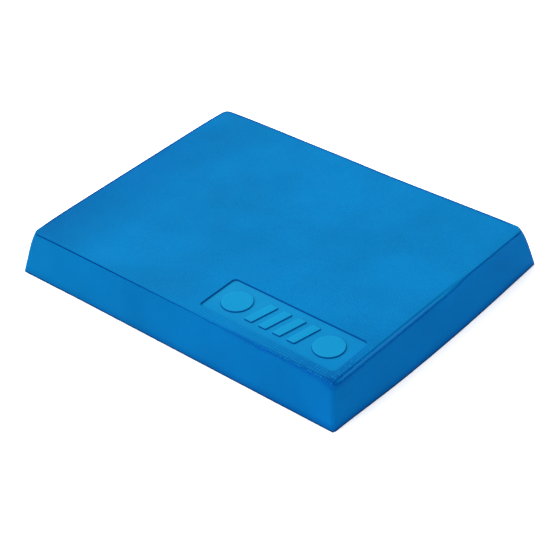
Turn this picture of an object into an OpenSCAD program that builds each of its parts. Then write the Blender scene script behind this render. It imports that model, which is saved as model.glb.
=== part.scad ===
// Balance pad: a slab of closed-cell foam with sloped sides, stood on for balance training.
// Four foam sheets are bonded into a core, and a dense moulded skin closes it on every side.
// +X runs along the length, -Y is the front with the marked panel, +Z is up.
// The origin is the middle of the underside.

/* [Pad] */
// Length of the underside, along X
base_l = 500; // [360:2:600]
// Depth of the underside, along Y
base_d = 382; // [260:2:480]
// Thickness from the floor to the standing face
pad_h = 57; // [40:1:80]
// How far each end slopes in from the underside to the standing face
end_slope = 11; // [2:0.5:24]
// How far the front and the back slope in from the underside to the standing face
side_slope = 14.5; // [2:0.5:24]
// Radius of the four upright corners at the underside
corner_r = 10; // [6:1:30]

/* [Skins] */
// Thickness of the dense textured skin on top
top_skin_t = 3; // [2.5:0.5:5]
// Thickness of the smooth skin round the four sides
side_skin_t = 2; // [1:0.5:4]
// Thickness of the skin on the underside
base_skin_t = 2; // [1:0.5:4]
// Width of the bevel that breaks the edge of the standing face
edge_break = 1.5; // [0.5:0.25:2]

/* [Core] */
// Bond line left between any two glued faces
bond_gap = 0.1; // [0.05:0.05:0.3]

/* [Panel] */
// Length of the sunk panel, along X
panel_l = 198; // [120:2:220]
// Depth of the sunk panel, along Y
panel_d = 62; // [30:1:80]
// Corner radius of the sunk panel
panel_r = 5; // [2:0.5:12]
// How far the panel is sunk below the standing face
panel_sink = 2; // [0.5:0.25:2]
// Distance from the panel to the front and right edges of the standing face
panel_margin = 14; // [8:1:30]

/* [Emblem] */
// Share of the panel's depth that the raised shapes fill
emblem_share = 0.62; // [0.3:0.02:0.8]
// How far the raised shapes stand up from the panel's floor
emblem_rise = 1.6; // [0.25:0.1:1.8]
// Number of slanted bars between the two discs
bar_count = 4; // [2:1:5]
// Width of each slanted bar, along X
bar_w = 12; // [6:1:14]
// Centre distance between neighbouring bars
bar_pitch = 21; // [15:1:24]
// How far the top of each bar leans towards +X
bar_lean = 8; // [0:1:12]

/* [Hidden] */

$fn = 48;
cut = 1; // overrun that lets one solid pass clean through another's face
sliver = 0.01; // thickness of the outline that a bevel ends on

core_sheet_count = 4;
core_bottom = base_skin_t;
core_top = pad_h - top_skin_t;
core_sheet_t = (core_top - core_bottom) / core_sheet_count;

top_l = base_l - 2 * end_slope;
top_d = base_d - 2 * side_slope;

panel_x = top_l / 2 - panel_margin - panel_l / 2;
panel_y = -top_d / 2 + panel_margin + panel_d / 2;

emblem_d = panel_d * emblem_share;
disc_x = panel_l / 2 - panel_d * (1 - emblem_share) / 2 - emblem_d / 2;

skin_blue = [0.07, 0.5, 0.76];
side_blue = [0.05, 0.45, 0.73];
base_blue = [0.04, 0.4, 0.68];
core_blue = [0.3, 0.64, 0.85];

// Size of the pad's outline at height z, with every side moved in by inset
function outline(z, inset) = [
    base_l - 2 * end_slope * z / pad_h - 2 * inset,
    base_d - 2 * side_slope * z / pad_h - 2 * inset
];

// A flat rectangle of the given size, centred on the origin, with rounded corners
module rounded_rectangle(size, r) {
    square([size.x - 2 * r, size.y], center = true);
    square([size.x, size.y - 2 * r], center = true);
    for (x = [-1, 1], y = [-1, 1])
        translate([x * (size.x / 2 - r), y * (size.y / 2 - r)])
            circle(r);
}

// The pad's outline at height z, with every side moved in by inset
module footprint(z, inset = 0) {
    rounded_rectangle(outline(z, inset), corner_r - inset);
}

// Raises the flat shape below it from z_low to z_high, narrowing it as the pad's sides slope in
module sloped_extrude(z_low, z_high) {
    low = outline(z_low, 0);
    high = outline(z_high, 0);
    translate([0, 0, z_low])
        linear_extrude(height = z_high - z_low, scale = [high.x / low.x, high.y / low.y], slices = 1)
            children();
}

// One foam sheet of the core, counted from 1 at the bottom
module core_sheet(index) {
    z_low = core_bottom + (index - 1) * core_sheet_t;
    color(core_blue)
        sloped_extrude(z_low + bond_gap / 2, z_low + core_sheet_t - bond_gap / 2)
            footprint(z_low, side_skin_t + bond_gap);
}

// The raised shapes on the panel's floor: a row of slanted bars between two discs
module emblem(height) {
    for (side = [-1, 1])
        translate([side * disc_x, 0, 0])
            cylinder(h = height, d = emblem_d);
    for (i = [0 : bar_count - 1])
        translate([(i - (bar_count - 1) / 2) * bar_pitch, 0, 0])
            slanted_bar(height);
}

// One raised bar, centred on the origin
module slanted_bar(height) {
    foot = -bar_w / 2 - bar_lean / 2;
    linear_extrude(height = height)
        polygon([
            [foot, -emblem_d / 2],
            [foot + bar_w, -emblem_d / 2],
            [foot + bar_w + bar_lean, emblem_d / 2],
            [foot + bar_lean, emblem_d / 2]
        ]);
}

// Dense skin under the pad, flat on the floor
module base_skin() {
    color(base_blue)
        sloped_extrude(0, core_bottom - bond_gap / 2)
            footprint(0);
}

// Smooth skin that rings the core
module side_skin() {
    z_low = core_bottom + bond_gap / 2;
    color(side_blue)
        sloped_extrude(z_low, core_top - bond_gap / 2)
            difference() {
                footprint(z_low);
                footprint(z_low, side_skin_t);
            }
}

// Standing face: a skin with a broken edge, a sunk panel in one corner and the emblem on its floor
module top_skin() {
    floor_z = pad_h - panel_sink;
    color(skin_blue) {
        difference() {
            hull() {
                sloped_extrude(core_top + bond_gap / 2, pad_h - edge_break)
                    footprint(core_top);
                sloped_extrude(pad_h - sliver, pad_h)
                    footprint(pad_h, edge_break);
            }
            translate([panel_x, panel_y, floor_z])
                linear_extrude(height = panel_sink + cut)
                    rounded_rectangle([panel_l, panel_d], panel_r);
        }
        translate([panel_x, panel_y, floor_z])
            emblem(emblem_rise);
    }
}

base_skin();
core_sheet(1);  // core_sheet_1
core_sheet(2);  // core_sheet_2
core_sheet(3);  // core_sheet_3
core_sheet(4);  // core_sheet_4
side_skin();
top_skin();
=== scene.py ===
"""A balance pad: one block of blue closed-cell foam, with a dense moulded skin round a bonded core.

The frame holds seven CAD nodes. Each is replaced here by a detailed piece in the same place: the
textured standing face with its sunk panel, the smooth sides, the textured underside and the four
sheets of the core. Lengths are in metres in the frame's own axes: +X along the pad, -Y the front,
+Z up. Every piece is laid out on the same columns, which run up the pad's sides from the underside
to the standing face, so that neighbouring pieces keep the same outline.
"""

import math

import bmesh
import bpy
import numpy as np
from mathutils import Matrix, Vector
from mathutils.geometry import delaunay_2d_cdt


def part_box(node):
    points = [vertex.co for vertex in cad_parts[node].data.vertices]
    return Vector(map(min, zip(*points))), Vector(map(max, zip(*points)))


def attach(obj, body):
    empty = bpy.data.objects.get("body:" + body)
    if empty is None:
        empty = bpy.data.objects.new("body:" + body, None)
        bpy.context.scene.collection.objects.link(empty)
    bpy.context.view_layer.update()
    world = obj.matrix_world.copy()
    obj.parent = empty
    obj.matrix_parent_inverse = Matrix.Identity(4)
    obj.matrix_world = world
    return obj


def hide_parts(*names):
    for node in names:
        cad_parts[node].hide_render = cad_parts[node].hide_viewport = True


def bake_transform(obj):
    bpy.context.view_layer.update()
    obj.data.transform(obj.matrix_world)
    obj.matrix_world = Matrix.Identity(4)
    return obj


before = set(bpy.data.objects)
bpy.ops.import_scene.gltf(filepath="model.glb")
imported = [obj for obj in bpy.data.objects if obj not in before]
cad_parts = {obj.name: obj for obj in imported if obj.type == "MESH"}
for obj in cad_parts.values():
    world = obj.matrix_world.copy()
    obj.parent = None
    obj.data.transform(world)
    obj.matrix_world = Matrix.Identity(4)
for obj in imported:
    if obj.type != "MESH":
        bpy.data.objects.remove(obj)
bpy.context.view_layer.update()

MM = 0.001

# ---------------------------------------------------------------------------------------------
# Sizes read from the frame
# ---------------------------------------------------------------------------------------------

base_low, base_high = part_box("base_skin")
skin_low, skin_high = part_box("top_skin")
core_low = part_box("core_sheet_1")[0]
core_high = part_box("core_sheet_4")[1]

PAD_H = skin_high.z
HALF_X = base_high.x
HALF_Y = base_high.y
SLOPE_X = (base_high.x - skin_high.x) / skin_low.z
SLOPE_Y = (base_high.y - skin_high.y) / skin_low.z
TOP_HALF_X = HALF_X - SLOPE_X * PAD_H
TOP_HALF_Y = HALF_Y - SLOPE_Y * PAD_H
TOP_REACH = TOP_HALF_X + TOP_HALF_Y  # x - y at the standing face's front right corner
CORE_INSET = HALF_X - SLOPE_X * core_low.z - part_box("core_sheet_1")[1].x
BOND_GAP = skin_low.z - core_high.z

# ---------------------------------------------------------------------------------------------
# The moulding's fine shape
# ---------------------------------------------------------------------------------------------

PITCH = 3.6 * MM  # centre distance of the bumps on the standing face
STEP = PITCH / 3  # vertex spacing there, which puts one vertex on every peak
BUMP = 0.45 * MM  # height of a bump
MEAN_BUMP = 0.25  # the mean height of the texture, as a share of a bump's
BUMP_SPREAD = 0.35  # how much the bumps differ in height, as a share of the mean
CORNER_SPREAD = 0.45  # what is added to that round the front right corner
WAVE = 0.25 * MM  # height of the standing face's slow waviness
BASE_PITCH = 2 * PITCH  # the underside has the same texture, twice as coarse
BASE_BUMP = 0.6 * MM
CORNER_COLUMNS = 30  # columns that turn each corner
CORNER_ROOM = 18 * MM  # length at each end of a side that the corners' columns take up

# Radius of each upright corner at the underside and at the standing face, counter-clockwise from
# the corner at +X, +Y. Most of the change is near the top.
CORNER_RADII = ((1.5 * MM, 11 * MM), (4 * MM, 8 * MM), (2.5 * MM, 8 * MM), (2.5 * MM, 9 * MM))
LEAST_RADIUS = 1.5 * MM  # the smallest radius left when an outline is moved inwards

EDGE_R = 1.2 * MM  # radius of the standing face's edge where it is crisp
FRONT_EDGE_R = 2.2 * MM  # its radius at the right-hand end of the front
CORNER_EDGE_R = 7.0 * MM  # where it is softest, at the front right corner
BEAD_EDGE_R = 5.2 * MM  # and along the moulding bead
SEAM_DROP = 0.3 * MM  # how far below the end of the edge's roll the standing face's skin ends
SEAM_WANDER = 0.6 * MM  # how far that line wanders downwards where the crease is closed
SEAM_TUCK = 0.3 * MM  # how far in its end lies
CORE_CLEARANCE = 0.2 * MM  # clearance between its hidden part and the core
CREASE = 1.3 * MM  # open width of the crease between the standing face's skin and the side skin
CLOSED_CREASE = 0.05 * MM  # its width where it's closed
RIGHT_CLOSING = 0.6  # how far it has closed up along the right side, from 0 to 1
LIP_R = 0.9 * MM  # rounding of the side skin's top lip
LIP_FLATTENING = 0.8  # how much of that rounding is lost where the crease is closed
BEAD = 0.6 * MM  # height of the moulding bead along part of the right-hand edge
BEAD_INSET = 0.0 * MM  # its distance from the edge, measured on the skin
BEAD_SPREAD = 0.9 * MM  # its half-width
GROOVE = 0.4 * MM  # depth of the groove beside it
GROOVE_INSET = 1.8 * MM
GROOVE_SPREAD = 0.8 * MM
BEAD_RELIEF = 2.8  # how much the bead raises the relief value, for its painted highlight
GROOVE_RELIEF = 0.5  # and how much the groove lowers it, for painted shade in the groove
CROWN = 0.3 * MM  # how far the standing face falls away towards its edges
CROWN_REACH = 16 * MM  # how far in from the edge that starts
SIDE_BELLY = 1.2 * MM  # how far each side swells between its edges

# Painted shade darkens the edges of the standing face, the corner at the front right and the foot.
EDGE_BAND = 4 * MM  # how far it reaches on either side of an edge
FRONT_BAND = 8 * MM  # its reach at the right-hand end of the front
CORNER_BAND = 8.5 * MM  # round the front right corner
RIGHT_BAND = 9 * MM  # and at the front end of the right side
RIGHT_RUN = 70 * MM  # how far along the right side it takes to shrink to EDGE_BAND
FAR_SHADE = 1.6  # its strength along the rear and the left edge
FAR_BAND = (4.8 * MM, 3.2 * MM)  # insets at which it starts there and is at its full strength
FOOT_SHADE = (0.5, 1.1)  # its strength along the foot, at the left end and at the right
FOOT_BAND = 11 * MM  # height above the floor at which that ends

# The trimmed block isn't quite true. These say how far it departs from its drawn size.
BASE_BOW = 5.0 * MM  # the foot of the right side bows out at its middle
BASE_TUCK = 1.7 * MM  # and lies this much farther in overall
LEFT_REACH = 0.8 * MM  # the left side lies farther out
LEFT_TUCK = 0.6 * MM  # but its top is tucked in near the front
LEFT_DROOP = 1.8 * MM  # how far its top corners droop
FOOT_TUCK = 1.3 * MM  # how far the foot of the right side is tucked in near the front
CORNER_TWIST = (2.0 * MM, 1.4 * MM)  # how far the front right edge leans left and forward
REAR_REACH = 1.6 * MM  # the rear lies farther out
REAR_FLARE = 3.0 * MM  # most of all at its right-hand end
FRONT_REACH = 0.8 * MM  # so does the front, most of all at its foot
FRONT_FLARE = 1.0 * MM  # and at its left-hand end

# The slow waves that make the moulded face uneven: radians per metre along x and y, and phase
WAVES = ((23, 9, 1.3), (-11, 31, 0.4), (47, -29, 2.1))


def smooth(value, low, high):
    """0 below low, 1 above high, and an S-curve between them. high may be the smaller of the two."""
    t = np.clip((value - low) / (high - low), 0.0, 1.0)
    return t * t * (3 - 2 * t)


def column_layout():
    """The columns round the pad: quarter turn, whether it's in a corner, and its place along."""
    end_x = math.floor((TOP_HALF_X - CORNER_ROOM) / STEP) * STEP
    end_y = math.floor((TOP_HALF_Y - CORNER_ROOM) / STEP) * STEP
    quarters, in_corner, places = [], [], []
    for quarter in range(4):
        straight_end = end_x if quarter % 2 == 0 else end_y
        for i in range(CORNER_COLUMNS):
            quarters.append(quarter)
            in_corner.append(True)
            places.append((i + 1) / (CORNER_COLUMNS + 1))
        for i in range(round(2 * straight_end / STEP) + 1):
            quarters.append(quarter)
            in_corner.append(False)
            places.append(straight_end - i * STEP)
    return np.array(quarters), np.array(in_corner), np.array(places), (end_x, end_y)


QUARTER, IN_CORNER, PLACE, STRAIGHT_END = column_layout()
COLUMNS = len(QUARTER)


def outline(z, inset=0.0):
    """x and y of every column at height z, moved in by inset.

    Each of the two may be one number or one per column.
    """
    z = np.broadcast_to(np.asarray(z, float), COLUMNS)
    inset = np.broadcast_to(np.asarray(inset, float), COLUMNS)
    half_x = HALF_X - SLOPE_X * z - inset
    half_y = HALF_Y - SLOPE_Y * z - inset
    even = QUARTER % 2 == 0
    near = np.where(even, half_x, half_y)  # reach of the side before the corner
    far = np.where(even, half_y, half_x)  # reach of the side after it
    near_end = np.where(even, STRAIGHT_END[1], STRAIGHT_END[0])
    far_end = np.where(even, STRAIGHT_END[0], STRAIGHT_END[1])
    radii = np.array(CORNER_RADII)[QUARTER]
    radius = radii[:, 0] + (radii[:, 1] - radii[:, 0]) * np.clip(z / PAD_H, 0, 1) ** 4
    radius = np.maximum(radius - inset, LEAST_RADIUS)

    before = far - radius - near_end
    arc = radius * math.pi / 2
    after = near - radius - far_end
    run = PLACE * (before + arc + after)
    turn = np.clip((run - before) / radius, 0, math.pi / 2)
    corner_x = near - radius + radius * np.cos(turn) - np.maximum(run - before - arc, 0)
    corner_y = np.where(run < before, near_end + run, far - radius + radius * np.sin(turn))

    x = np.where(IN_CORNER, corner_x, PLACE)
    y = np.where(IN_CORNER, corner_y, far)
    turned_x = np.choose(QUARTER, (x, -y, -x, y))
    turned_y = np.choose(QUARTER, (y, x, -y, -x))
    return turned_x, turned_y


TOP_X, TOP_Y = outline(PAD_H)
REAR_AND_LEFT = (QUARTER == 0) & ~IN_CORNER | (QUARTER == 1)
FRONT = (QUARTER == 2) & ~IN_CORNER
RIGHT = (QUARTER == 3) & ~IN_CORNER
FRONT_RIGHT = (QUARTER == 3) & IN_CORNER


def edge_radii():
    """For each column, the radius of the standing face's edge."""
    along_front = smooth(TOP_X, 0.0, 0.9 * TOP_HALF_X)
    along_right = smooth(TOP_Y, 0.45 * TOP_HALF_Y, 0.15 * TOP_HALF_Y)
    front = EDGE_R + (FRONT_EDGE_R - EDGE_R) * along_front
    corner = np.interp(PLACE, (0, 0.5, 1), (FRONT_EDGE_R, CORNER_EDGE_R, BEAD_EDGE_R))
    right = EDGE_R + (BEAD_EDGE_R - EDGE_R) * along_right
    return np.select((FRONT, FRONT_RIGHT, RIGHT), (front, corner, right), EDGE_R)


def crease_closing():
    """For each column, how far the crease has closed up: fully at the front right corner."""
    along_front = smooth(TOP_X, -0.7 * TOP_HALF_X, 0.5 * TOP_HALF_X)
    round_corner = 1 - (1 - RIGHT_CLOSING) * smooth(PLACE, 0.4, 0.9)
    return np.select((FRONT, FRONT_RIGHT, RIGHT), (along_front, round_corner, RIGHT_CLOSING), 0.0)


def edge_shade_by_column():
    """Per column, the painted shade on the near edges: its strength and its reach either side."""
    sides = (FRONT, FRONT_RIGHT, RIGHT)
    along_front = smooth(TOP_X, 0.1 * TOP_HALF_X, 0.5 * TOP_HALF_X)
    front_end = smooth(TOP_X, 0.7 * TOP_HALF_X, TOP_HALF_X)
    front_band = EDGE_BAND + (FRONT_BAND - EDGE_BAND) * front_end
    past_corner = smooth(TOP_Y, RIGHT_RUN - TOP_HALF_Y, -TOP_HALF_Y)
    along_right = (0.5 + 0.5 * past_corner) * BEAD_STRENGTH
    right_band = EDGE_BAND + (RIGHT_BAND - EDGE_BAND) * past_corner
    strength = np.select(sides, (along_front, 1.0, along_right), 0.0)
    reach = np.select(sides, (front_band, CORNER_BAND, right_band), EDGE_BAND)
    return strength, reach


def bead_strength():
    """For each column, how strong the moulding bead is. It runs up the right edge from the front."""
    along_right = smooth(TOP_Y, 0.35 * TOP_HALF_Y, -0.15 * TOP_HALF_Y)
    round_corner = smooth(PLACE, 0.45, 0.9)
    return np.where(RIGHT, along_right, np.where(FRONT_RIGHT, round_corner, 0.0))


EDGE_RADIUS = edge_radii()
CLOSING = crease_closing()
BEAD_STRENGTH = bead_strength()
# Painted shade along the near edges, for each column.
EDGE_SHADE, EDGE_SHADE_REACH = edge_shade_by_column()
SIDE_ANGLE = math.atan2(1.0, (SLOPE_X + SLOPE_Y) / 2)  # the sides' steepness above the floor

# Height at which the standing face's skin ends, and the crease's width, for each column
seam_rng = np.random.default_rng(7)
wander = np.convolve(seam_rng.normal(size=COLUMNS), np.ones(9) / 3, mode="same")
SEAM_Z = PAD_H - EDGE_RADIUS * (1 - math.cos(SIDE_ANGLE)) - SEAM_DROP
SEAM_Z -= SEAM_WANDER * CLOSING * np.abs(wander)
CREASE_WIDTH = CLOSED_CREASE + CREASE * (1 - CLOSING)


def settle(points):
    """The small departures of a real moulding from its straight-sided form, added to every piece.

    A high power keeps a departure close to its edge, and a low one spreads it over the pad.
    """
    x, y, z = points.T.copy()
    up = np.clip(z / PAD_H, 0, 1)
    reach_x = x / (HALF_X - SLOPE_X * z)
    reach_y = y / (HALF_Y - SLOPE_Y * z)
    across_x = np.cos(np.clip(reach_x, -1, 1) * math.pi / 2)
    across_y = np.cos(np.clip(reach_y, -1, 1) * math.pi / 2)
    edge_x = np.sign(x) * np.abs(reach_x) ** 8
    edge_y = np.sign(y) * np.abs(reach_y) ** 8
    belly = SIDE_BELLY * 4 * up * (1 - up)
    x += edge_x * belly * np.sqrt(across_y)
    y += edge_y * belly * np.sqrt(across_x)

    left, right = np.maximum(-reach_x, 0), np.maximum(reach_x, 0)
    front, rear = np.maximum(-reach_y, 0), np.maximum(reach_y, 0)
    x += right**8 * (BASE_BOW * across_y - BASE_TUCK) * (1 - up) ** 1.5
    x -= left**2 * (LEFT_REACH - LEFT_TUCK * smooth(reach_y, -0.7, -1.0) * up**2)
    y += rear**2 * (REAR_REACH + REAR_FLARE * smooth(reach_x, 0.1, 0.9))
    y -= front**2 * (FRONT_REACH + FRONT_FLARE * smooth(reach_x, -0.5, -1.0)) * (1 - 0.7 * up)
    x -= right**8 * FOOT_TUCK * smooth(reach_y, -0.4, -0.9) * (1 - up) ** 1.5
    twist = (right * front) ** 16 * smooth(up, 0.0, 0.35) * smooth(up, 1.0, 0.8)
    x -= twist * CORNER_TWIST[0]
    y -= twist * CORNER_TWIST[1]
    z -= LEFT_DROOP * left**12 * np.abs(reach_y) ** 7 * up**4
    return np.column_stack((x, y, z))


def bumps(x, y, pitch):
    """Height of a square field of rounded bumps, one peak at the origin. They average 1 tall.

    Their heights differ from bump to bump, most of all round the front right corner.
    """
    # The usual sine hash: its fraction looks random from one bump to the next.
    cell = np.sin(np.rint(x / pitch) * 12.9898 + np.rint(y / pitch) * 78.233) * 43758.5453
    spread = BUMP_SPREAD + CORNER_SPREAD * smooth(x - y, 0.75 * TOP_REACH, 0.95 * TOP_REACH)
    tall = 1 + spread * (2 * (cell - np.floor(cell)) - 1)
    return tall * (np.cos(np.pi * x / pitch) * np.cos(np.pi * y / pitch)) ** 2


def unevenness(x, y):
    """Slow waviness of the moulded face, from -1 to 1."""
    return sum(np.sin(a * x + b * y + phase) for a, b, phase in WAVES) / len(WAVES)


# ---------------------------------------------------------------------------------------------
# Mesh building
# ---------------------------------------------------------------------------------------------


def make_piece(name, vertices, faces, materials, face_materials=None, relief=None):
    """A smooth-shaded mesh object, settled like the rest of the moulding.

    relief is stored per vertex for the material: 0 in the hollows of the texture, 1 on its bumps,
    more on the moulding bead, and less than 0 where painted shade darkens it.
    """
    mesh = bpy.data.meshes.new(name)
    mesh.from_pydata(settle(np.asarray(vertices)).tolist(), [], faces)
    for material in materials:
        mesh.materials.append(material)
    if face_materials is not None:
        mesh.polygons.foreach_set("material_index", face_materials)
    if relief is not None:
        mesh.attributes.new("relief", "FLOAT", "POINT").data.foreach_set("value", relief)
    mesh.polygons.foreach_set("use_smooth", np.ones(len(mesh.polygons), bool))
    mesh.update()
    piece = bpy.data.objects.new(name, mesh)
    bpy.context.scene.collection.objects.link(piece)
    return piece


def loft(rings, closed=False):
    """Quads between neighbouring rings of equal length. closed also joins the last to the first."""
    count = len(rings[0])
    faces = []
    pairs = list(zip(rings, rings[1:]))
    if closed:
        pairs.append((rings[-1], rings[0]))
    for lower, upper in pairs:
        for i in range(count):
            j = (i + 1) % count
            faces.append((lower[i], lower[j], upper[j], upper[i]))
    return faces


def ring_points(z, inset=0.0, columns=slice(None)):
    """One ring round the pad as points."""
    x, y = outline(z, inset)
    z = np.broadcast_to(np.asarray(z, float), COLUMNS)
    return np.column_stack((x, y, z))[columns]


def rings_and_indices(rings, first=0):
    """All rings' points in one array, and each ring's vertex numbers counted from first."""
    count = len(rings[0])
    numbers = [list(range(first + i * count, first + (i + 1) * count)) for i in range(len(rings))]
    return np.vstack(rings), numbers


# ---------------------------------------------------------------------------------------------
# Outlines taken from the CAD node of the standing face
# ---------------------------------------------------------------------------------------------


def level_outlines(node):
    """{height: closed outlines of the upward faces at that height} of a CAD node, x and y only."""
    bm = bmesh.new()
    bm.from_mesh(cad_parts[node].data)
    bmesh.ops.remove_doubles(bm, verts=bm.verts, dist=1e-6)
    levels = {}
    for face in bm.faces:
        if face.normal.z > 0.999:
            levels.setdefault(round(face.calc_center_median().z, 5), set()).add(face)
    found = {}
    for height, faces in levels.items():
        edges = {e for f in faces for e in f.edges if sum(g in faces for g in e.link_faces) == 1}
        found[height] = []
        while edges:
            edge = edges.pop()
            start, vert = edge.verts
            loop = [start]
            while vert is not start:
                loop.append(vert)
                edge = next(e for e in vert.link_edges if e in edges)
                edges.discard(edge)
                vert = edge.other_vert(vert)
            found[height].append(np.array([(v.co.x, v.co.y) for v in loop]))
    bm.free()
    return found


def area(loop):
    """Signed area of a closed outline, positive when it runs counter-clockwise."""
    x, y = loop.T
    return 0.5 * float(np.sum(x * np.roll(y, -1) - np.roll(x, -1) * y))


def counter_clockwise(loop):
    return loop if area(loop) > 0 else loop[::-1]


def filleted(loop, radius, sharp=math.radians(40), pieces=7):
    """The outline with each sharp corner rounded. Gentle bends, such as a disc's, stay."""
    points = []
    for before, corner, after in zip(np.roll(loop, 1, 0), loop, np.roll(loop, -1, 0)):
        back = (before - corner) / np.linalg.norm(before - corner)
        ahead = (after - corner) / np.linalg.norm(after - corner)
        opening = math.acos(float(np.clip(back @ ahead, -1, 1)))
        if math.pi - opening < sharp:
            points.append(corner)
            continue
        reach = radius / math.tan(opening / 2)
        middle = (back + ahead) / np.linalg.norm(back + ahead)
        centre = corner + middle * radius / math.sin(opening / 2)
        start, end = corner + back * reach - centre, corner + ahead * reach - centre
        for t in np.linspace(0, 1, pieces):
            point = start * (1 - t) + end * t
            points.append(centre + point * radius / np.linalg.norm(point))
    return np.array(points)


def resampled(loop, spacing):
    """The outline with points added so that no two are farther apart than spacing."""
    points = []
    for here, there in zip(loop, np.roll(loop, -1, 0)):
        count = max(1, math.ceil(np.linalg.norm(there - here) / spacing))
        points += [here + (there - here) * i / count for i in range(count)]
    return np.array(points)


def grown(loop, distance):
    """A counter-clockwise convex outline moved outwards by distance."""
    edge = np.roll(loop, -1, 0) - loop
    edge /= np.linalg.norm(edge, axis=1)[:, None]
    normal = np.column_stack((edge[:, 1], -edge[:, 0]))
    corner = normal + np.roll(normal, 1, 0)
    corner /= np.linalg.norm(corner, axis=1)[:, None]
    stretch = 1 / np.maximum(np.sum(corner * normal, axis=1), 0.5)
    return loop + corner * (distance * stretch)[:, None]


def signed_distance(points, loop, reach=8 * MM):
    """Distance from each point to the outline: positive outside it, negative inside.

    Points farther than reach outside the outline's own box are given reach, which saves time.
    """
    found = np.full(len(points), reach)
    near = np.all((points > loop.min(0) - reach) & (points < loop.max(0) + reach), axis=1)
    close = points[near]
    best = np.full(len(close), np.inf)
    inside = np.zeros(len(close), bool)
    for a, b in zip(loop, np.roll(loop, -1, 0)):
        along = b - a
        t = np.clip(((close - a) @ along) / (along @ along), 0, 1)
        best = np.minimum(best, np.linalg.norm(close - a - t[:, None] * along, axis=1))
        crosses = (a[1] > close[:, 1]) != (b[1] > close[:, 1])
        rise = b[1] - a[1] if b[1] != a[1] else 1e-12
        inside ^= crosses & (close[:, 0] < a[0] + along[0] * (close[:, 1] - a[1]) / rise)
    found[near] = np.where(inside, -best, best)
    return found


def grid(half_x, half_y, spacing):
    """A square grid of points centred on the origin."""
    counts = [math.floor(half / spacing) for half in (half_x, half_y)]
    x, y = [np.arange(-count, count + 1) * spacing for count in counts]
    return np.array(np.meshgrid(x, y)).reshape(2, -1).T


def triangulated(border, loops, loose):
    """Points and triangles that fill border and keep every loop's edges.

    The border's points come first, in their own order.
    """
    points = np.vstack([border, *loops, loose])
    edges, start = [], len(border)
    for loop in loops:
        edges += [(start + i, start + (i + 1) % len(loop)) for i in range(len(loop))]
        start += len(loop)
    flat = [Vector(p) for p in points.tolist()]
    around = [list(range(len(border)))]
    out, _, triangles, origins, _, _ = delaunay_2d_cdt(flat, edges, around, 1, 1e-9)
    place = {old: new for new, olds in enumerate(origins) for old in olds}
    order = [place[i] for i in range(len(border))]
    rest = [i for i in range(len(out)) if i not in set(order)]
    renumber = {old: new for new, old in enumerate(order + rest)}
    points = np.array([tuple(out[i]) for i in order + rest])
    return points, [tuple(renumber[i] for i in triangle) for triangle in triangles]


# ---------------------------------------------------------------------------------------------
# Materials
# ---------------------------------------------------------------------------------------------


class Nodes:
    """Short calls for building one material's node tree."""

    def __init__(self, name):
        self.material = bpy.data.materials.new(name)
        self.material.use_nodes = True
        self.tree = self.material.node_tree
        self.shader = self.tree.nodes["Principled BSDF"]
        self.place = self.add("ShaderNodeTexCoord").outputs["Object"]

    def add(self, kind, **values):
        """A new node. A value that names an input sets it or links to it; any other sets a property."""
        node = self.tree.nodes.new(kind)
        for key, value in values.items():
            name = key.replace("_", " ")
            if name in node.inputs:
                self.feed(node.inputs[name], value)
            else:
                setattr(node, key, value)
        return node

    def feed(self, socket, value):
        if isinstance(value, bpy.types.NodeSocket):
            self.tree.links.new(value, socket)
        else:
            socket.default_value = value

    def noise(self, scale, detail=2.0):
        """Soft noise about 0.5, with about scale features to the metre."""
        node = self.add("ShaderNodeTexNoise", Vector=self.place, Scale=scale, Detail=detail)
        return node.outputs["Fac"]

    def cells(self, scale, feature="F1"):
        """0 at the middle of each cell, with about scale cells to the metre."""
        node = self.add("ShaderNodeTexVoronoi", feature=feature, Vector=self.place, Scale=scale)
        return node.outputs["Distance"]

    def ramp(self, value, low, high, to_low=0.0, to_high=1.0):
        """to_low at low and below, to_high at high and beyond, and straight between them."""
        node = self.add("ShaderNodeMapRange", Value=value, From_Min=low, From_Max=high)
        self.feed(node.inputs["To Min"], to_low)
        self.feed(node.inputs["To Max"], to_high)
        return node.outputs["Result"]

    def mix(self, share, first, second, blend="MIX"):
        node = self.tree.nodes.new("ShaderNodeMix")
        node.data_type = "RGBA"
        node.blend_type = blend
        # A mix node's sockets 0, 6 and 7 are its factor and its two colours, and output 2 is a colour.
        for socket, value in ((0, share), (6, first), (7, second)):
            self.feed(node.inputs[socket], value)
        return node.outputs[2]

    def grey(self, value):
        """A colour with the value in all three channels, which may be over 1."""
        return self.add("ShaderNodeCombineColor", Red=value, Green=value, Blue=value).outputs["Color"]

    def math(self, operation, first, second):
        node = self.tree.nodes.new("ShaderNodeMath")
        node.operation = operation
        self.feed(node.inputs[0], first)
        self.feed(node.inputs[1], second)
        return node.outputs[0]

    def bump(self, height, distance, strength=1.0, normal=None):
        node = self.add("ShaderNodeBump", Height=height, Distance=distance, Strength=strength)
        if normal is not None:
            self.feed(node.inputs["Normal"], normal)
        return node.outputs["Normal"]

    def edges(self):
        """About 0 in hollows, 0.5 on flats and 1 on edges."""
        return self.add("ShaderNodeNewGeometry").outputs["Pointiness"]

    def axes(self, vector):
        """The vector's x, y and z."""
        split = self.add("ShaderNodeSeparateXYZ", Vector=vector)
        return split.outputs["X"], split.outputs["Y"], split.outputs["Z"]


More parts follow.
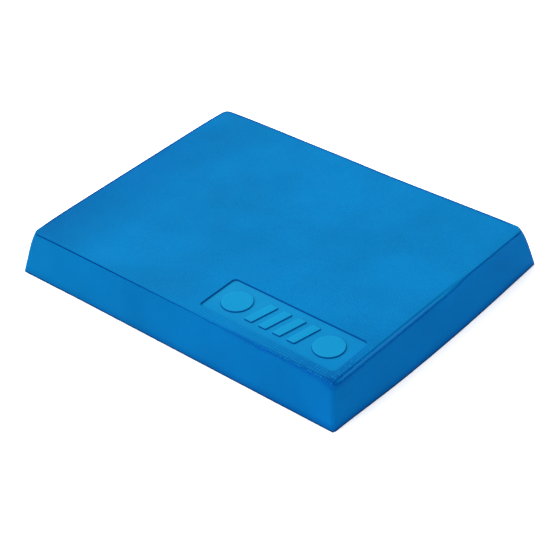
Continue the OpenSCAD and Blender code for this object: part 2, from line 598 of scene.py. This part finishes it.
SHADE_RELIEF = 0.6  # how much painted shade lowers the relief value that the tints follow
CLEAN_RELIEF = 0.42  # the relief value that leaves a colour as it is
HOLLOW_RELIEF = -1.0  # the one at which the painted shade in hollows is full
BUMP_RELIEF = 1.3  # where the bumps' painted highlight is full, and the bead's starts
FULL_BEAD_RELIEF = 2.2  # the one at which it has turned
HOLLOW_SHADE_TINT = (0.42, 0.44, 0.74, 1.0)  # painted shade in a deep hollow
BUMP_HIGHLIGHT_TINT = (1.40, 1.34, 1.16, 1.0)  # and a painted highlight on a tall bump
SKIN_SHEEN = 0.006  # specular level of the dull skin
SHEEN_TINT = (0.3, 0.7, 1.0, 1.0)
WEAR_AND_HIGHLIGHT_SHARE = 0.3  # paler colour on edges: rubbing wear and a painted highlight


def shade(colour, factor=1.0):
    """The colour with its brightness changed by factor, as the nodes take it."""
    return (*(channel * factor for channel in colour), 1.0)


def foam_skin(name, colour, roughness, grain=1.0, mottle=0.06, tinted=False, tone=None):
    """Moulded closed-cell foam skin: slow mottling, fine grain, pinholes and paler edges,
    which are partly rubbing wear and partly a painted highlight.

    A tinted one also follows the mesh's relief: painted shade in hollows and along shaded edges,
    and a painted highlight on bumps and on the bead.
    tone, if given, is a function of the node builder that returns the body colour before all that.
    """
    n = Nodes(name)
    cloud = n.ramp(n.noise(11.0, detail=3.0), 0.32, 0.68, 1 - mottle, 1 + mottle)
    body = tone(n) if tone else shade(colour)
    body = n.mix(1.0, body, n.grey(cloud), blend="MULTIPLY")
    speckle = n.ramp(n.noise(900.0), 0.3, 0.7, 0.94, 1.06)
    body = n.mix(1.0, body, n.grey(speckle), blend="MULTIPLY")
    pinholes = n.ramp(n.cells(260.0), 0.05, 0.14, 0.3, 0.0)
    body = n.mix(pinholes, body, shade(colour, 0.6))
    if tinted:
        # Painted shade in the hollows and along shaded edges, and a painted highlight on the bumps.
        relief = n.add("ShaderNodeAttribute", attribute_name="relief").outputs["Fac"]
        depth = n.mix(n.ramp(relief, HOLLOW_RELIEF, BUMP_RELIEF), HOLLOW_SHADE_TINT, BUMP_HIGHLIGHT_TINT)
        body = n.mix(1.0, body, depth, blend="MULTIPLY")
        # Painted highlight along the moulding bead.
        bead_highlight = n.ramp(relief, BUMP_RELIEF, FULL_BEAD_RELIEF)
        body = n.mix(bead_highlight, body, shade(BEAD_HIGHLIGHT_BLUE))
    # Paler edges: partly rubbing wear, partly a painted highlight.
    edge_wear_and_highlight = n.math("MULTIPLY", n.ramp(n.edges(), 0.54, 0.66), n.ramp(n.noise(60.0), 0.35, 0.65))
    body = n.mix(n.math("MULTIPLY", edge_wear_and_highlight, WEAR_AND_HIGHLIGHT_SHARE), body, shade(colour, 1.5))
    n.feed(n.shader.inputs["Base Color"], body)
    patches = n.ramp(n.noise(35.0, detail=3.0), 0.3, 0.7, roughness - 0.06, roughness + 0.06)
    n.feed(n.shader.inputs["Roughness"], patches)
    n.feed(n.shader.inputs["Specular IOR Level"], SKIN_SHEEN)
    n.feed(n.shader.inputs["Specular Tint"], SHEEN_TINT)
    normal = n.bump(n.noise(1400.0), 0.05 * MM * grain)
    normal = n.bump(n.cells(520.0), 0.08 * MM * grain, normal=normal)
    n.feed(n.shader.inputs["Normal"], normal)
    return n.material


def foam_core(name, colour):
    """Cut closed-cell foam: small open cells of several sizes, paler walls between them."""
    n = Nodes(name)
    cells = n.ramp(n.cells(700.0, "SMOOTH_F1"), 0.0, 0.8)
    body = n.mix(cells, shade(colour, 0.75), shade(colour, 1.2))
    patches = n.ramp(n.noise(25.0, detail=3.0), 0.3, 0.7, 0.0, 0.4)
    body = n.mix(patches, body, shade(colour, 0.85))
    n.feed(n.shader.inputs["Base Color"], body)
    n.feed(n.shader.inputs["Roughness"], n.ramp(cells, 0.0, 1.0, 0.95, 0.8))
    n.feed(n.shader.inputs["Specular IOR Level"], 0.1)
    n.feed(n.shader.inputs["Normal"], n.bump(cells, 0.35 * MM))
    return n.material


# Linear colours. They are dark because the light is strong enough to turn the floor white.
TOP_BLUE = (0.0014, 0.1020, 0.248)
# The panel floor's colour where its painted sheen is strongest.
FLOOR_SHEEN_BLUE = (0.0036, 0.1250, 0.268)
EMBLEM_BLUE = (0.0032, 0.1380, 0.280)
SIDE_BLUE = (0.0009, 0.1030, 0.268)
# The right side's colour is painted shade: a darker, bluer copy of the sides' colour.
SHADED_SIDE_BLUE = (0.0007, 0.0840, 0.256)
BASE_BLUE = (0.0014, 0.0900, 0.225)
# A painted highlight along the crest of the moulding bead.
BEAD_HIGHLIGHT_BLUE = (0.0095, 0.0860, 0.288)
# Painted shade round the front right corner.
CORNER_SHADE_BLUE = (0.0009, 0.0610, 0.184)
# A painted contact shadow along the foot.
FOOT_SHADOW_BLUE = (0.0010, 0.0300, 0.115)
# Painted shade on the steep walls of the panel and the emblem.
STEP_SHADE_BLUE = (0.0008, 0.0450, 0.190)
# Painted shade inside the crease between the skins.
CREASE_SHADE_BLUE = (0.0010, 0.0750, 0.300)
CORE_BLUE = (0.0300, 0.2000, 0.400)

# ---------------------------------------------------------------------------------------------
# Standing face
# ---------------------------------------------------------------------------------------------

RIM_BAND = 2 * PITCH  # width of the band inside the edge that follows the outline
RIM_SPACING = 0.6 * MM  # distance between the rings there
PLAIN_EDGE = (3.0 * MM, 1.2 * MM)  # insets between which the texture fades above an open crease
PLAIN_RIM = 1.2 * MM  # plain border of the panel, with no bumps
PANEL_FILLET = 1.5 * MM  # corner rounding of the panel's rim
EMBLEM_FILLET = 2 * MM  # and of the emblem's shapes
LOOP_SPACING = 1.5 * MM  # distance between the points along their steps
FLOOR_SPACING = 3 * MM  # and between those on the panel's floor
FLOOR_CLEARANCE = 1 * MM  # how far the floor's points stay from the panel's step
EMBLEM_CLEARANCE = 1.7 * MM  # and from the emblem's

# How fully the texture shows: 1 is BUMP high.
WORN_SHARE = 0.65  # its share at the rear left
PATCHY_SHARE = 0.3  # how much that differs from place to place
NEAR_SHARE = 0.35  # what is added by the front right corner
CORNER_SHARE = 1.1  # and what is added close round it
FULL_SHARE = 1.3  # the share above which the bumps grow no taller and only the tints follow

LEFT_BAND = 100 * MM  # how far in from its left edge painted shade darkens the standing face
FLOOR_BAND = 25 * MM  # how far in from its front edge the panel floor's painted sheen fades

# The shape of a moulded step: distances from its outline, outwards first, and how much of the
# step's height is already lost there.
STEP_OFFSETS = np.array((0.7, 0.35, 0.12, -0.12, -0.35, -0.7)) * MM
STEP_LOSSES = np.array((0.0, 0.06, 0.25, 0.75, 0.94, 1.0))


def moulded_step(distance):
    """0 outside a step's outline and 1 inside it, with a steep wall and two rounded edges."""
    return np.interp(distance, STEP_OFFSETS[::-1], STEP_LOSSES[::-1])


def top_levels():
    """The panel's rim, the emblem's outlines, the panel's depth and the emblem's rise."""
    levels = level_outlines("top_skin")
    floor_z, emblem_z, top_z = sorted(levels)
    inner = min(levels[top_z], key=lambda loop: abs(area(loop)))
    rim = filleted(counter_clockwise(inner), PANEL_FILLET)
    shapes = [filleted(counter_clockwise(loop), EMBLEM_FILLET) for loop in levels[emblem_z]]
    return rim, shapes, top_z - floor_z, emblem_z - floor_z


PANEL_RIM, EMBLEM, PANEL_DEPTH, EMBLEM_RISE = top_levels()
PANEL_LOW, PANEL_HIGH = PANEL_RIM.min(0), PANEL_RIM.max(0)


def emblem_distance(points):
    return np.min([signed_distance(points, shape) for shape in EMBLEM], axis=0)


def texture_share(x, y):
    """How fully the texture shows: not at all in the panel, and crispest at the front right."""
    rim = signed_distance(np.column_stack((x, y)), PANEL_RIM)
    outside = smooth(rim, STEP_OFFSETS[0], STEP_OFFSETS[0] + PLAIN_RIM)
    share = WORN_SHARE + PATCHY_SHARE * unevenness(2 * y, 2 * x)
    share += NEAR_SHARE * smooth(x - y, 0.0, TOP_REACH)
    share += CORNER_SHARE * smooth(x - y, 0.7 * TOP_REACH, 0.95 * TOP_REACH)
    return outside * share


def textured_height(x, y, share):
    """Height that the texture adds to the standing face."""
    return BUMP * np.minimum(share, FULL_SHARE) * bumps(x, y, PITCH)


def top_height(x, y):
    """Height of the standing face above its plane, without the texture."""
    points = np.column_stack((x, y))
    to_edge = np.minimum(TOP_HALF_X - np.abs(x), TOP_HALF_Y - np.abs(y))
    height = WAVE * unevenness(x, y) - CROWN * smooth(to_edge, CROWN_REACH, 0.0)
    height -= PANEL_DEPTH * moulded_step(signed_distance(points, PANEL_RIM))
    return height + EMBLEM_RISE * moulded_step(emblem_distance(points))


def relief(x, y, share):
    """The standing face's relief for its material: MEAN_BUMP on plain areas, spread by the texture."""
    return MEAN_BUMP + (bumps(x, y, PITCH) - MEAN_BUMP) * share


def shade_inside(x, y):
    """The front edge's painted shade on the part of the standing face inside its rim band."""
    columns = np.flatnonzero(FRONT)
    order = columns[np.argsort(TOP_X[columns])]
    strength = np.interp(x, TOP_X[order], EDGE_SHADE[order])
    reach = np.interp(x, TOP_X[order], EDGE_SHADE_REACH[order])
    return strength * smooth(y + TOP_HALF_Y, reach, 0.0)


def rim_ring(flat):
    """One ring of the standing face's edge, and its relief. flat is its inset if unrolled flat."""
    past = np.maximum(EDGE_RADIUS - flat, 0) / EDGE_RADIUS
    angle = np.minimum(past, SIDE_ANGLE)
    inset = np.maximum(flat, EDGE_RADIUS) - EDGE_RADIUS * np.sin(angle)
    drop = EDGE_RADIUS * (1 - np.cos(angle))
    x, y = outline(PAD_H, flat)
    kept = 1 - (1 - CLOSING) * smooth(flat, *PLAIN_EDGE)
    share = texture_share(x, y) * kept
    bead = BEAD_STRENGTH * np.exp(-(((flat - BEAD_INSET) / BEAD_SPREAD) ** 2))
    groove = BEAD_STRENGTH * np.exp(-(((flat - GROOVE_INSET) / GROOVE_SPREAD) ** 2))
    rise = top_height(x, y) + textured_height(x, y, share) + BEAD * bead - GROOVE * groove
    ring = ring_points(PAD_H - drop + rise * np.cos(angle), inset - rise * np.sin(angle))
    # Painted shade along the rear, the left and the near edges.
    shade_amount = FAR_SHADE * REAR_AND_LEFT * smooth(flat, *FAR_BAND)
    shade_amount = shade_amount + EDGE_SHADE * smooth(flat, EDGE_SHADE_REACH, 0.0)
    # A painted highlight on the bead, and painted shade in the groove beside it.
    raised = BEAD_RELIEF * bead - GROOVE_RELIEF * groove
    return ring, relief(x, y, share) + raised - SHADE_RELIEF * shade_amount


def face_kinds(middles):
    """Which material each upper face takes: 0 textured skin, 1 panel floor, 2 emblem, 3 step wall."""
    rim = signed_distance(middles, PANEL_RIM)
    shape = emblem_distance(middles)
    wall_out, wall_in = STEP_OFFSETS[1], STEP_OFFSETS[4]
    kinds = np.where(rim < wall_in, 1, 0)
    kinds[shape < wall_in] = 2
    kinds[(rim < wall_out) & (rim > wall_in)] = 3
    kinds[(shape < -wall_in) & (shape > wall_in)] = 3
    return kinds


def build_standing_face():
    """The textured skin with its panel and emblem, closed underneath."""
    border = np.column_stack(outline(PAD_H, RIM_BAND))
    half_x, half_y = border.max(0)
    loops = []
    for offset in STEP_OFFSETS:
        loops += [resampled(grown(shape, offset), LOOP_SPACING) for shape in (PANEL_RIM, *EMBLEM)]

    # Every fourth point of the border is enough to keep the grid half a step inside it.
    loose = grid(half_x, half_y, STEP)
    loose = loose[signed_distance(loose, border[::4]) < -0.5 * STEP]
    loose = loose[signed_distance(loose, PANEL_RIM) > STEP_OFFSETS[0] + 0.5 * STEP]
    floor = grid(half_x, half_y, FLOOR_SPACING)
    floor = floor[signed_distance(floor, PANEL_RIM) < STEP_OFFSETS[-1] - FLOOR_CLEARANCE]
    floor = floor[np.abs(emblem_distance(floor)) > EMBLEM_CLEARANCE]

    flat, faces = triangulated(border, loops, np.vstack((loose, floor)))
    kinds = face_kinds(flat[np.array(faces)].mean(1))
    flat_x, flat_y = flat.T
    share = texture_share(flat_x, flat_y)
    flat_z = PAD_H + top_height(flat_x, flat_y) + textured_height(flat_x, flat_y, share)

    unrolled = EDGE_RADIUS * SIDE_ANGLE - EDGE_RADIUS  # how far past the edge the roll's end lies
    count = math.ceil((RIM_BAND + unrolled.max()) / RIM_SPACING)
    shares = np.linspace(0, 1, count + 1)[1:]
    rolled = [rim_ring(RIM_BAND - (RIM_BAND + unrolled) * share) for share in shares]
    rings = [ring for ring, _ in rolled]
    inner = CORE_INSET - CORE_CLEARANCE
    hidden = ((SEAM_Z, SEAM_TUCK), (SEAM_Z + CORE_CLEARANCE, inner), (skin_low.z, inner))
    rings += [ring_points(z, inset) for z, inset in hidden]
    points, numbers = rings_and_indices(rings, len(flat))
    sides = [face[::-1] for face in loft([list(range(COLUMNS)), *numbers])]
    underside = tuple(numbers[-1][::-1])
    # Painted shade along the front edge, inside the rim band.
    inner_relief = relief(flat_x, flat_y, share) - SHADE_RELIEF * shade_inside(flat_x, flat_y)
    unseen = len(hidden) * COLUMNS
    reliefs = (inner_relief, *(part for _, part in rolled), np.zeros(unseen))
    # The skin's end in the crease and its hidden part take the crease's painted shade.
    kinds = np.concatenate((kinds, np.zeros(count * COLUMNS, int), np.full(unseen + 1, 4)))
    return make_piece(
        "standing_face",
        np.vstack((np.column_stack((flat, flat_z)), points)),
        [*faces, *sides, underside],
        (top_material, floor_material, emblem_material, step_shade_material, crease_shade_material),
        kinds,
        np.concatenate(reliefs),
    )


def top_tone(n):
    """The textured skin's colour, with painted shade at its left-hand edge and front right corner.

    Where the skin turns down at its edge it takes the right side's colour, as painted shade.
    """
    x, y, _ = n.axes(n.place)
    near = n.math("SUBTRACT", x, y)
    # Painted shade at the left-hand edge and round the front right corner.
    at_left = n.ramp(x, -TOP_HALF_X, LEFT_BAND - TOP_HALF_X, 0.60, 0.0)
    at_left = n.math("MULTIPLY", at_left, n.ramp(y, 0.2 * TOP_HALF_Y, 0.7 * TOP_HALF_Y, 1.0, 0.45))
    towards_corner = n.ramp(near, 0.6 * TOP_REACH, TOP_REACH, 0.0, 0.50)
    at_corner = n.ramp(near, 0.82 * TOP_REACH, TOP_REACH, 0.0, 0.18)
    darkened = n.math("ADD", n.math("ADD", at_left, towards_corner), at_corner)
    body = n.mix(darkened, shade(TOP_BLUE), shade(CORNER_SHADE_BLUE))
    # Painted shade where the skin turns down at its edge.
    _, _, level = n.axes(n.add("ShaderNodeNewGeometry").outputs["Normal"])
    turned_down = n.ramp(level, 0.97, 0.3)
    return n.mix(turned_down, body, shade(SHADED_SIDE_BLUE))


def floor_tone(n):
    """The panel floor's colour, with a painted sheen: palest at its left-hand end,
    like the textured skin at its right.
    """
    x, y, _ = n.axes(n.place)
    along = n.ramp(x, PANEL_LOW[0], PANEL_HIGH[0], 1.0, 0.2)
    across = n.ramp(y, PANEL_LOW[1], PANEL_LOW[1] + FLOOR_BAND, 0.2, 1.0)
    # The painted sheen, palest at the left-hand end.
    pale = n.math("MULTIPLY", along, across)
    return n.mix(pale, shade(TOP_BLUE, 1.03), shade(FLOOR_SHEEN_BLUE))


def side_tone(n):
    """The smooth skin's colour, with painted light: lighter and greener to the left, darker and
    bluer to the right, and paler at the rear and towards the foot of the right side.
    """
    x, y, z = n.axes(n.place)
    # Painted light: lighter to the left, painted shade to the right.
    along = n.mix(n.ramp(x, -HALF_X, HALF_X), shade(SIDE_BLUE), shade(SHADED_SIDE_BLUE))
    at_right = n.ramp(x, 0.8 * HALF_X, 0.9 * HALF_X)
    # Painted light at the rear and towards the foot of the right side.
    at_rear = n.ramp(y, -0.3 * HALF_Y, HALF_Y, 1.0, 1.16)
    at_foot = n.ramp(z, 0.6 * PAD_H, 0.1 * PAD_H, 1.0, 1.09)
    paler = n.mix(at_right, n.grey(1.0), n.grey(n.math("MULTIPLY", at_rear, at_foot)))
    return n.mix(1.0, along, paler, blend="MULTIPLY")


top_material = foam_skin(
    "textured_foam_skin", TOP_BLUE, 0.62, mottle=0.08, tinted=True, tone=top_tone
)
# The panel floor carries a painted sheen.
floor_material = foam_skin("pressed_foam_skin", FLOOR_SHEEN_BLUE, 0.52, grain=0.5, tone=floor_tone)
emblem_material = foam_skin("raised_foam_skin", EMBLEM_BLUE, 0.50, grain=0.4)
side_material = foam_skin(
    "smooth_foam_skin", SIDE_BLUE, 0.55, grain=0.6, mottle=0.08, tinted=True, tone=side_tone
)
base_material = foam_skin("base_foam_skin", BASE_BLUE, 0.66, tinted=True)
# Painted contact shadow on the underside's edge along the foot.
foot_shadow_material = foam_skin("foot_shadow_foam_skin", FOOT_SHADOW_BLUE, 0.66)
# Painted shade on the step walls of the panel and the emblem.
step_shade_material = foam_skin("step_shade_foam_skin", STEP_SHADE_BLUE, 0.70)
# Painted shade inside the crease between the skins.
crease_shade_material = foam_skin("crease_shade_foam_skin", CREASE_SHADE_BLUE, 0.70)
core_material = foam_core("cut_foam_core", CORE_BLUE)

# ---------------------------------------------------------------------------------------------
# Sides, underside and core
# ---------------------------------------------------------------------------------------------

WALL_RINGS = 36  # rings up the outside of the side skin
LIP_RINGS = 5  # round its lip
INNER_RINGS = 8  # and down its inside
ARC_RINGS = 5  # rings round an edge of the core or the underside
BASE_EDGE_R = 0.6 * MM  # rounding of the underside's edge
BASE_LIP = 3 * MM  # how far the underside's closing face starts inside its outline
SHEET_EDGE_R = 1.0 * MM  # rounding of the core sheets' edges
EVERY_SECOND = slice(None, None, 2)  # the columns used where all of them would be finer than needed
EVERY_FOURTH = slice(None, None, 4)


def build_sides():
    """The smooth skin round the four sides: an outer wall with a rounded lip, and an inner wall."""
    foot = base_high.z + BOND_GAP
    inner = CORE_INSET - BOND_GAP
    lip = SEAM_Z - CREASE_WIDTH
    lip_r = LIP_R * (1 - LIP_FLATTENING * CLOSING)
    # Painted contact shadow along the foot, stronger towards the right.
    foot_shade_strength = np.interp(smooth(TOP_X, -TOP_HALF_X, TOP_HALF_X), (0, 1), FOOT_SHADE)
    rings, shade_amount = [], []
    for share in np.linspace(0, 1, WALL_RINGS):
        z = foot + (lip - lip_r - foot) * share
        rings.append(ring_points(z, 0.0, EVERY_SECOND))
        # Painted shade just below the lip, and painted contact shadow at the foot.
        near_lip = EDGE_SHADE * smooth(z, lip - EDGE_SHADE_REACH, lip)
        shade_amount.append(near_lip + foot_shade_strength * smooth(z, FOOT_BAND, foot))
    # The lip takes the edge's full painted shade.
    for angle in np.linspace(0, math.pi / 2, LIP_RINGS + 1)[1:]:
        z = lip - lip_r + lip_r * math.sin(angle)
        rings.append(ring_points(z, lip_r * (1 - math.cos(angle)), EVERY_SECOND))
        shade_amount.append(EDGE_SHADE)
    for share in np.linspace(1, 0, INNER_RINGS):
        rings.append(ring_points(foot + (lip - foot) * share, inner, EVERY_SECOND))
        shade_amount.append(np.zeros(COLUMNS))
    points, numbers = rings_and_indices(rings)
    faces = loft(numbers, closed=True)
    # The lip's last two bands lie in the crease and take its painted shade.
    seen_bands = WALL_RINGS + LIP_RINGS - 3  # all but the lip's last two, which lie in the crease
    kinds = np.ones(len(faces), int)
    kinds[: seen_bands * len(numbers[0])] = 0
    relief = CLEAN_RELIEF - SHADE_RELIEF * np.concatenate([part[EVERY_SECOND] for part in shade_amount])
    return make_piece("side_wall", points, faces, (side_material, crease_shade_material), kinds, relief)


def build_underside():
    """The skin on the floor, with the same square texture as the standing face, twice as coarse."""
    band = BASE_PITCH / 2
    step = BASE_PITCH / 3
    border = ring_points(0.0, band, EVERY_SECOND)[:, :2]
    half_x, half_y = border.max(0)
    loose = grid(half_x, half_y, step)
    loose = loose[signed_distance(loose, border[::4]) < -0.5 * step]
    flat, faces = triangulated(border, [], loose)
    faces = [face[::-1] for face in faces]
    edge = signed_distance(flat, border[::4])
    relief = bumps(flat[:, 0], flat[:, 1], BASE_PITCH)
    hollow = BASE_BUMP * (1 - relief / relief.max())  # 0 at the tallest bump, which is on the floor
    bottom = np.column_stack((flat, hollow * smooth(-edge, 0, band)))

    levels = [(0.0, inset) for inset in (0.6 * band, 0.3 * band, BASE_EDGE_R)]
    for angle in np.linspace(0, math.pi / 2, ARC_RINGS)[1:]:
        levels.append((BASE_EDGE_R * (1 - math.cos(angle)), BASE_EDGE_R * (1 - math.sin(angle))))
    levels += [(base_high.z, 0.0), (base_high.z, BASE_LIP)]
    rings = [ring_points(z, inset, EVERY_SECOND) for z, inset in levels]
    points, numbers = rings_and_indices(rings, len(bottom))
    sides = loft([list(range(len(border))), *numbers])
    # The underside's edge takes the painted contact shadow.
    return make_piece(
        "underside",
        np.vstack((bottom, points)),
        [*faces, *sides, tuple(numbers[-1])],
        (base_material, foot_shadow_material),
        np.concatenate((np.zeros(len(faces), int), np.ones(len(sides) + 1, int))),
        np.concatenate((relief, np.ones(len(points)))),
    )


def build_core_sheet(node):
    """One bonded sheet of the core, with its cut edges slightly rounded."""
    low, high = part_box(node)
    levels = []
    for angle in np.linspace(0, math.pi / 2, ARC_RINGS):
        inset = SHEET_EDGE_R * (1 - math.sin(angle))
        levels.append((SHEET_EDGE_R * (1 - math.cos(angle)), inset))
    middle = [(share * (high.z - low.z), 0.0) for share in (0.25, 0.5, 0.75)]
    upper = [(high.z - low.z - rise, inset) for rise, inset in reversed(levels)]
    levels = [*levels, *middle, *upper]
    rings = [ring_points(low.z + rise, CORE_INSET + inset, EVERY_FOURTH) for rise, inset in levels]
    points, numbers = rings_and_indices(rings)
    faces = [*loft(numbers), tuple(numbers[0][::-1]), tuple(numbers[-1])]
    return make_piece(node.replace("core", "foam"), points, faces, (core_material,))


def bend_between_skins(piece):
    """Bakes the piece's placement into its mesh."""
    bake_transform(piece)


standing_face = build_standing_face()
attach(standing_face, "standing_top")
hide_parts("top_skin")

side_wall = build_sides()
bend_between_skins(side_wall)
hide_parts("side_skin")

underside = build_underside()
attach(underside, "base")
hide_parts("base_skin")

for node in ("core_sheet_1", "core_sheet_2", "core_sheet_3", "core_sheet_4"):
    sheet = build_core_sheet(node)
    bend_between_skins(sheet)
    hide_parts(node)

# ---------------------------------------------------------------------------------------------
# Floor, light and camera
# ---------------------------------------------------------------------------------------------

FLOOR_HALF = 6.0  # half the width of the floor
FLOOR_DROP = 0.05 * MM  # how far it lies below the pad, so that the two don't coincide

CAMERA_AZIMUTH, CAMERA_ELEVATION, CAMERA_ROLL = 43.22, 36.52, -4.0  # degrees
CAMERA_DISTANCE = 2.068
CAMERA_RIGHT, CAMERA_UP = -2.6 * MM, -8.2 * MM  # how far it is shifted from facing the origin
CAMERA_LENS, CAMERA_SENSOR = 110.0, 36.0  # millimetres, as a camera takes them


def build_floor():
    """A plain pale floor that isn't part of the pad."""
    n = Nodes("pale_floor")
    tone = n.mix(n.noise(3.0), (0.93, 0.93, 0.93, 1.0), (0.95, 0.95, 0.95, 1.0))
    n.feed(n.shader.inputs["Base Color"], tone)
    n.feed(n.shader.inputs["Roughness"], 0.9)
    n.feed(n.shader.inputs["Specular IOR Level"], 0.0)
    mesh = bpy.data.meshes.new("floor")
    signs = ((-1, -1), (1, -1), (1, 1), (-1, 1))
    corners = [(x * FLOOR_HALF, y * FLOOR_HALF, -FLOOR_DROP) for x, y in signs]
    mesh.from_pydata(corners, [], [(0, 1, 2, 3)])
    mesh.materials.append(n.material)
    floor = bpy.data.objects.new("floor", mesh)
    bpy.context.scene.collection.objects.link(floor)


def direction(azimuth, elevation):
    """Unit vector from the pad towards a viewer. Azimuth 0 is the front, -Y, and 90 is +X."""
    a, e = math.radians(azimuth), math.radians(elevation)
    return Vector((math.sin(a) * math.cos(e), -math.cos(a) * math.cos(e), math.sin(e)))


def right_and_up(back):
    """The directions to the right and up of a viewer who looks along -back."""
    right = Vector((0, 0, 1)).cross(back).normalized()
    return right, back.cross(right)


def aim(obj, place, back, roll=0.0):
    """Puts obj at place, looking along -back, turned by roll degrees about that line."""
    right, up = right_and_up(back)
    turn = Matrix((right, up, back)).transposed().to_4x4()
    obj.matrix_world = Matrix.Translation(place) @ turn @ Matrix.Rotation(math.radians(roll), 4, "Z")


def area_light(name, azimuth, elevation, distance, size, power):
    """A square lamp of the given size that faces the pad."""
    data = bpy.data.lights.new(name, "AREA")
    data.size = size
    data.energy = power
    light = bpy.data.objects.new(name, data)
    bpy.context.scene.collection.objects.link(light)
    back = direction(azimuth, elevation)
    aim(light, back * distance, back)


def build_camera():
    """The camera that looks at the pad from its front right corner."""
    data = bpy.data.cameras.new("camera")
    data.lens = CAMERA_LENS
    data.sensor_width = CAMERA_SENSOR
    camera = bpy.data.objects.new("camera", data)
    bpy.context.scene.collection.objects.link(camera)
    back = direction(CAMERA_AZIMUTH, CAMERA_ELEVATION)
    right, up = right_and_up(back)
    place = back * CAMERA_DISTANCE + right * CAMERA_RIGHT + up * CAMERA_UP
    aim(camera, place, back, roll=CAMERA_ROLL)
    bpy.context.scene.camera = camera


def build_world():
    """White surroundings, dimmer towards the right of the pad."""
    world = bpy.data.worlds.new("studio")
    world.use_nodes = True
    nodes, links = world.node_tree.nodes, world.node_tree.links
    place = nodes.new("ShaderNodeTexCoord")
    split = nodes.new("ShaderNodeSeparateXYZ")
    dimming = nodes.new("ShaderNodeMapRange")
    for name, value in (("From Min", 0.0), ("From Max", 0.9), ("To Min", 1.6), ("To Max", 1.02)):
        dimming.inputs[name].default_value = value
    links.new(place.outputs["Generated"], split.inputs["Vector"])
    links.new(split.outputs["X"], dimming.inputs["Value"])
    links.new(dimming.outputs["Result"], nodes["Background"].inputs["Strength"])
    nodes["Background"].inputs["Color"].default_value = (1.0, 1.0, 1.0, 1.0)
    bpy.context.scene.world = world


build_floor()
build_world()
area_light("key", azimuth=-110, elevation=50, distance=6.0, size=2.0, power=350)
area_light("fill", azimuth=-15, elevation=30, distance=6.0, size=3.0, power=110)
build_camera()
bpy.context.scene.view_settings.view_transform = "Standard"
